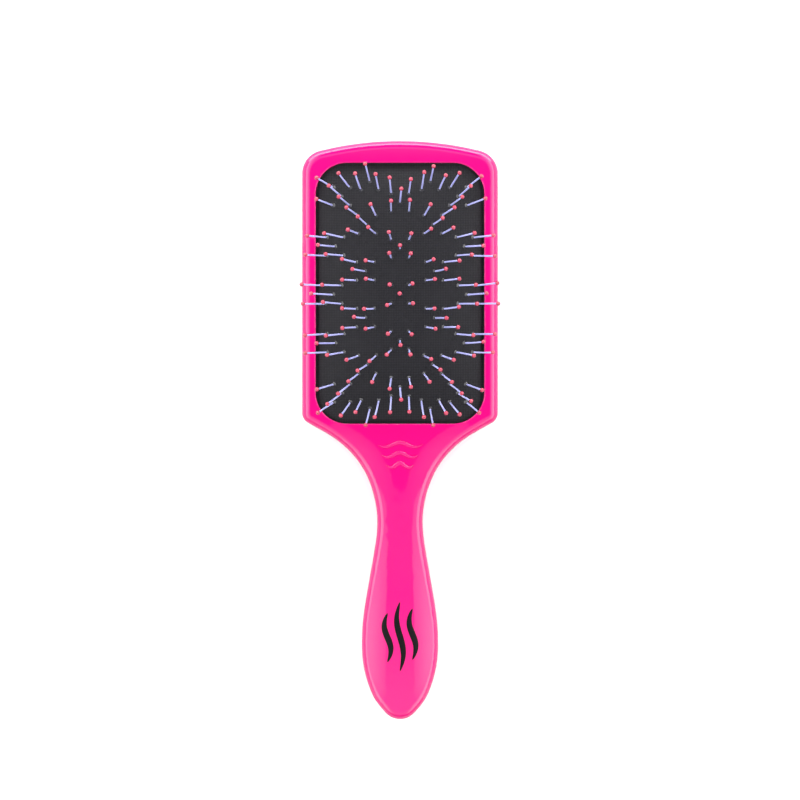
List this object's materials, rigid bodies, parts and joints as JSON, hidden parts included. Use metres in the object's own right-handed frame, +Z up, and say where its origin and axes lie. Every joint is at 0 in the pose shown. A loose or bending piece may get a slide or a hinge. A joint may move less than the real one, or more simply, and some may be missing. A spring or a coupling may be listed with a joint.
{
  "type": "paddle brush",
  "caption": "Wide flat paddle hair brush: glossy hollow body, domed rubber cushion that gives under pressure, clusters of fine ball-tipped pins, slim rounded handle.",
  "frame": {"origin": "on the resting surface, under the middle of the brush's box, with the brush lying on its back", "axes": "+X across the brush, +Y along it from the handle to the top of the head, +Z up from the back to the pins"},
  "size_m": [0.0886, 0.2602, 0.0416],
  "materials": {
    "body_plastic": "gloss",
    "cushion_rubber": "satin",
    "pin_nylon": "satin",
    "tip_resin": "gloss"
  },
  "bodies": {
    "body": {"front_shell": "body_plastic", "back_shell": "body_plastic", "cushion_pad": "cushion_rubber"},
    "tuft_far_left_1": {"pins_far_left_1": "pin_nylon", "tips_far_left_1": "tip_resin"},
    "tuft_far_left_2": {"pins_far_left_2": "pin_nylon", "tips_far_left_2": "tip_resin"},
    "tuft_far_left_3": {"pins_far_left_3": "pin_nylon", "tips_far_left_3": "tip_resin"},
    "tuft_far_left_4": {"pins_far_left_4": "pin_nylon", "tips_far_left_4": "tip_resin"},
    "tuft_far_left_5": {"pins_far_left_5": "pin_nylon", "tips_far_left_5": "tip_resin"},
    "tuft_left_1": {"pins_left_1": "pin_nylon", "tips_left_1": "tip_resin"},
    "tuft_left_2": {"pins_left_2": "pin_nylon", "tips_left_2": "tip_resin"},
    "tuft_left_3": {"pins_left_3": "pin_nylon", "tips_left_3": "tip_resin"},
    "tuft_left_4": {"pins_left_4": "pin_nylon", "tips_left_4": "tip_resin"},
    "tuft_left_5": {"pins_left_5": "pin_nylon", "tips_left_5": "tip_resin"},
    "tuft_left_6": {"pins_left_6": "pin_nylon", "tips_left_6": "tip_resin"},
    "tuft_middle_1": {"pins_middle_1": "pin_nylon", "tips_middle_1": "tip_resin"},
    "tuft_middle_2": {"pins_middle_2": "pin_nylon", "tips_middle_2": "tip_resin"},
    "tuft_middle_3": {"pins_middle_3": "pin_nylon", "tips_middle_3": "tip_resin"},
    "tuft_middle_4": {"pins_middle_4": "pin_nylon", "tips_middle_4": "tip_resin"},
    "tuft_middle_5": {"pins_middle_5": "pin_nylon", "tips_middle_5": "tip_resin"},
    "tuft_right_1": {"pins_right_1": "pin_nylon", "tips_right_1": "tip_resin"},
    "tuft_right_2": {"pins_right_2": "pin_nylon", "tips_right_2": "tip_resin"},
    "tuft_right_3": {"pins_right_3": "pin_nylon", "tips_right_3": "tip_resin"},
    "tuft_right_4": {"pins_right_4": "pin_nylon", "tips_right_4": "tip_resin"},
    "tuft_right_5": {"pins_right_5": "pin_nylon", "tips_right_5": "tip_resin"},
    "tuft_right_6": {"pins_right_6": "pin_nylon", "tips_right_6": "tip_resin"},
    "tuft_far_right_1": {"pins_far_right_1": "pin_nylon", "tips_far_right_1": "tip_resin"},
    "tuft_far_right_2": {"pins_far_right_2": "pin_nylon", "tips_far_right_2": "tip_resin"},
    "tuft_far_right_3": {"pins_far_right_3": "pin_nylon", "tips_far_right_3": "tip_resin"},
    "tuft_far_right_4": {"pins_far_right_4": "pin_nylon", "tips_far_right_4": "tip_resin"},
    "tuft_far_right_5": {"pins_far_right_5": "pin_nylon", "tips_far_right_5": "tip_resin"}
  },
  "joints": [
    {"name": "cushion_press", "type": "slide", "parent": "body", "child": "tuft_middle_3", "axis": [0, 0, -1], "range_m": [0, 0.0045], "stiffness_N_per_m": 150, "deforming": ["cushion_pad"]},
    {"name": "press_far_left_1", "type": "slide", "parent": "body", "child": "tuft_far_left_1", "axis": [0, 0, -1], "range_m": [0, 0.00125], "stiffness_N_per_m": 150},
    {"name": "press_far_left_2", "type": "slide", "parent": "body", "child": "tuft_far_left_2", "axis": [0, 0, -1], "range_m": [0, 0.00172], "stiffness_N_per_m": 150},
    {"name": "press_far_left_3", "type": "slide", "parent": "body", "child": "tuft_far_left_3", "axis": [0, 0, -1], "range_m": [0, 0.00168], "stiffness_N_per_m": 150},
    {"name": "press_far_left_4", "type": "slide", "parent": "body", "child": "tuft_far_left_4", "axis": [0, 0, -1], "range_m": [0, 0.00171], "stiffness_N_per_m": 150},
    {"name": "press_far_left_5", "type": "slide", "parent": "body", "child": "tuft_far_left_5", "axis": [0, 0, -1], "range_m": [0, 0.00117], "stiffness_N_per_m": 150},
    {"name": "press_left_1", "type": "slide", "parent": "body", "child": "tuft_left_1", "axis": [0, 0, -1], "range_m": [0, 0.00158], "stiffness_N_per_m": 150},
    {"name": "press_left_2", "type": "slide", "parent": "body", "child": "tuft_left_2", "axis": [0, 0, -1], "range_m": [0, 0.00313], "stiffness_N_per_m": 150},
    {"name": "press_left_3", "type": "slide", "parent": "body", "child": "tuft_left_3", "axis": [0, 0, -1], "range_m": [0, 0.00374], "stiffness_N_per_m": 150},
    {"name": "press_left_4", "type": "slide", "parent": "body", "child": "tuft_left_4", "axis": [0, 0, -1], "range_m": [0, 0.00372], "stiffness_N_per_m": 150},
    {"name": "press_left_5", "type": "slide", "parent": "body", "child": "tuft_left_5", "axis": [0, 0, -1], "range_m": [0, 0.00304], "stiffness_N_per_m": 150},
    {"name": "press_left_6", "type": "slide", "parent": "body", "child": "tuft_left_6", "axis": [0, 0, -1], "range_m": [0, 0.00139], "stiffness_N_per_m": 150},
    {"name": "press_middle_1", "type": "slide", "parent": "body", "child": "tuft_middle_1", "axis": [0, 0, -1], "range_m": [0, 0.00272], "stiffness_N_per_m": 150},
    {"name": "press_middle_2", "type": "slide", "parent": "body", "child": "tuft_middle_2", "axis": [0, 0, -1], "range_m": [0, 0.00423], "stiffness_N_per_m": 150},
    {"name": "press_middle_4", "type": "slide", "parent": "body", "child": "tuft_middle_4", "axis": [0, 0, -1], "range_m": [0, 0.00417], "stiffness_N_per_m": 150},
    {"name": "press_middle_5", "type": "slide", "parent": "body", "child": "tuft_middle_5", "axis": [0, 0, -1], "range_m": [0, 0.00255], "stiffness_N_per_m": 150},
    {"name": "press_right_1", "type": "slide", "parent": "body", "child": "tuft_right_1", "axis": [0, 0, -1], "range_m": [0, 0.00158], "stiffness_N_per_m": 150},
    {"name": "press_right_2", "type": "slide", "parent": "body", "child": "tuft_right_2", "axis": [0, 0, -1], "range_m": [0, 0.00313], "stiffness_N_per_m": 150},
    {"name": "press_right_3", "type": "slide", "parent": "body", "child": "tuft_right_3", "axis": [0, 0, -1], "range_m": [0, 0.00374], "stiffness_N_per_m": 150},
    {"name": "press_right_4", "type": "slide", "parent": "body", "child": "tuft_right_4", "axis": [0, 0, -1], "range_m": [0, 0.00372], "stiffness_N_per_m": 150},
    {"name": "press_right_5", "type": "slide", "parent": "body", "child": "tuft_right_5", "axis": [0, 0, -1], "range_m": [0, 0.00304], "stiffness_N_per_m": 150},
    {"name": "press_right_6", "type": "slide", "parent": "body", "child": "tuft_right_6", "axis": [0, 0, -1], "range_m": [0, 0.00139], "stiffness_N_per_m": 150},
    {"name": "press_far_right_1", "type": "slide", "parent": "body", "child": "tuft_far_right_1", "axis": [0, 0, -1], "range_m": [0, 0.00125], "stiffness_N_per_m": 150},
    {"name": "press_far_right_2", "type": "slide", "parent": "body", "child": "tuft_far_right_2", "axis": [0, 0, -1], "range_m": [0, 0.00172], "stiffness_N_per_m": 150},
    {"name": "press_far_right_3", "type": "slide", "parent": "body", "child": "tuft_far_right_3", "axis": [0, 0, -1], "range_m": [0, 0.00168], "stiffness_N_per_m": 150},
    {"name": "press_far_right_4", "type": "slide", "parent": "body", "child": "tuft_far_right_4", "axis": [0, 0, -1], "range_m": [0, 0.00171], "stiffness_N_per_m": 150},
    {"name": "press_far_right_5", "type": "slide", "parent": "body", "child": "tuft_far_right_5", "axis": [0, 0, -1], "range_m": [0, 0.00117], "stiffness_N_per_m": 150}
  ],
  "couplings": [
    {"joint": "press_far_left_1", "follows": "cushion_press", "ratio": 0.2783},
    {"joint": "press_far_left_2", "follows": "cushion_press", "ratio": 0.381},
    {"joint": "press_far_left_3", "follows": "cushion_press", "ratio": 0.3733},
    {"joint": "press_far_left_4", "follows": "cushion_press", "ratio": 0.3803},
    {"joint": "press_far_left_5", "follows": "cushion_press", "ratio": 0.2605},
    {"joint": "press_left_1", "follows": "cushion_press", "ratio": 0.3512},
    {"joint": "press_left_2", "follows": "cushion_press", "ratio": 0.6945},
    {"joint": "press_left_3", "follows": "cushion_press", "ratio": 0.8301},
    {"joint": "press_left_4", "follows": "cushion_press", "ratio": 0.8272},
    {"joint": "press_left_5", "follows": "cushion_press", "ratio": 0.6747},
    {"joint": "press_left_6", "follows": "cushion_press", "ratio": 0.308},
    {"joint": "press_middle_1", "follows": "cushion_press", "ratio": 0.6047},
    {"joint": "press_middle_2", "follows": "cushion_press", "ratio": 0.9389},
    {"joint": "press_middle_4", "follows": "cushion_press", "ratio": 0.9262},
    {"joint": "press_middle_5", "follows": "cushion_press", "ratio": 0.5657},
    {"joint": "press_right_1", "follows": "cushion_press", "ratio": 0.3512},
    {"joint": "press_right_2", "follows": "cushion_press", "ratio": 0.6945},
    {"joint": "press_right_3", "follows": "cushion_press", "ratio": 0.8301},
    {"joint": "press_right_4", "follows": "cushion_press", "ratio": 0.8272},
    {"joint": "press_right_5", "follows": "cushion_press", "ratio": 0.6747},
    {"joint": "press_right_6", "follows": "cushion_press", "ratio": 0.308},
    {"joint": "press_far_right_1", "follows": "cushion_press", "ratio": 0.2783},
    {"joint": "press_far_right_2", "follows": "cushion_press", "ratio": 0.381},
    {"joint": "press_far_right_3", "follows": "cushion_press", "ratio": 0.3733},
    {"joint": "press_far_right_4", "follows": "cushion_press", "ratio": 0.3803},
    {"joint": "press_far_right_5", "follows": "cushion_press", "ratio": 0.2605}
  ]
}
